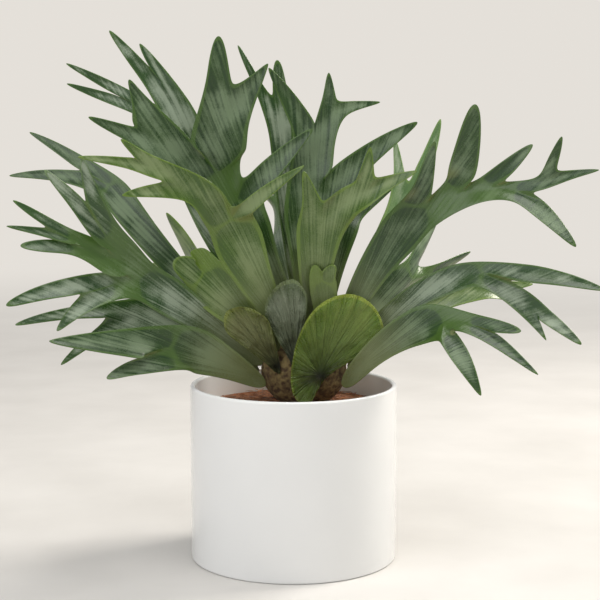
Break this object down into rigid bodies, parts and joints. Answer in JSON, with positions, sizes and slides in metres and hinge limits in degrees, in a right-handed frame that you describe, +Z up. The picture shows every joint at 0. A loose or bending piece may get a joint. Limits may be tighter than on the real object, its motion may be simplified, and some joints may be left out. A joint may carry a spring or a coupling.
{
  "type": "potted staghorn fern",
  "caption": "Staghorn fern with forked antler fronds and rounded shield fronds, growing in a plain glazed cylinder pot.",
  "frame": {"origin": "centre of the pot's flat underside", "axes": "+Z up out of the pot, -Y towards the plant's best side, +X to the right as seen from there"},
  "size_m": [0.4602, 0.2272, 0.408],
  "materials": {
    "white_glaze": "gloss",
    "coir_mix": "matte",
    "rhizome": "matte",
    "antler_green": "satin",
    "shield_green": "satin"
  },
  "bodies": {
    "root": {"pot": "white_glaze", "potting_mix": "coir_mix", "rhizome": "rhizome", "shield_frond_front": "shield_green", "shield_frond_grey": "shield_green", "shield_frond_olive": "shield_green", "shield_frond_back": "shield_green", "antler_frond_front": "antler_green", "antler_frond_tall": "antler_green", "antler_frond_silver": "antler_green", "antler_frond_left": "antler_green", "antler_frond_left_rear": "antler_green", "antler_frond_left_middle": "antler_green", "antler_frond_left_low": "antler_green", "antler_frond_young": "antler_green", "antler_frond_crown": "antler_green", "antler_frond_slim": "antler_green", "antler_frond_centre": "antler_green", "antler_frond_bud": "antler_green", "antler_frond_dark": "antler_green", "antler_frond_right": "antler_green", "antler_frond_right_middle": "antler_green", "antler_frond_right_under": "antler_green", "antler_frond_right_low": "antler_green", "antler_frond_pale": "antler_green", "antler_frond_back_left": "antler_green", "antler_frond_back_centre": "antler_green", "antler_frond_back_right": "antler_green"}
  },
  "joints": []
}
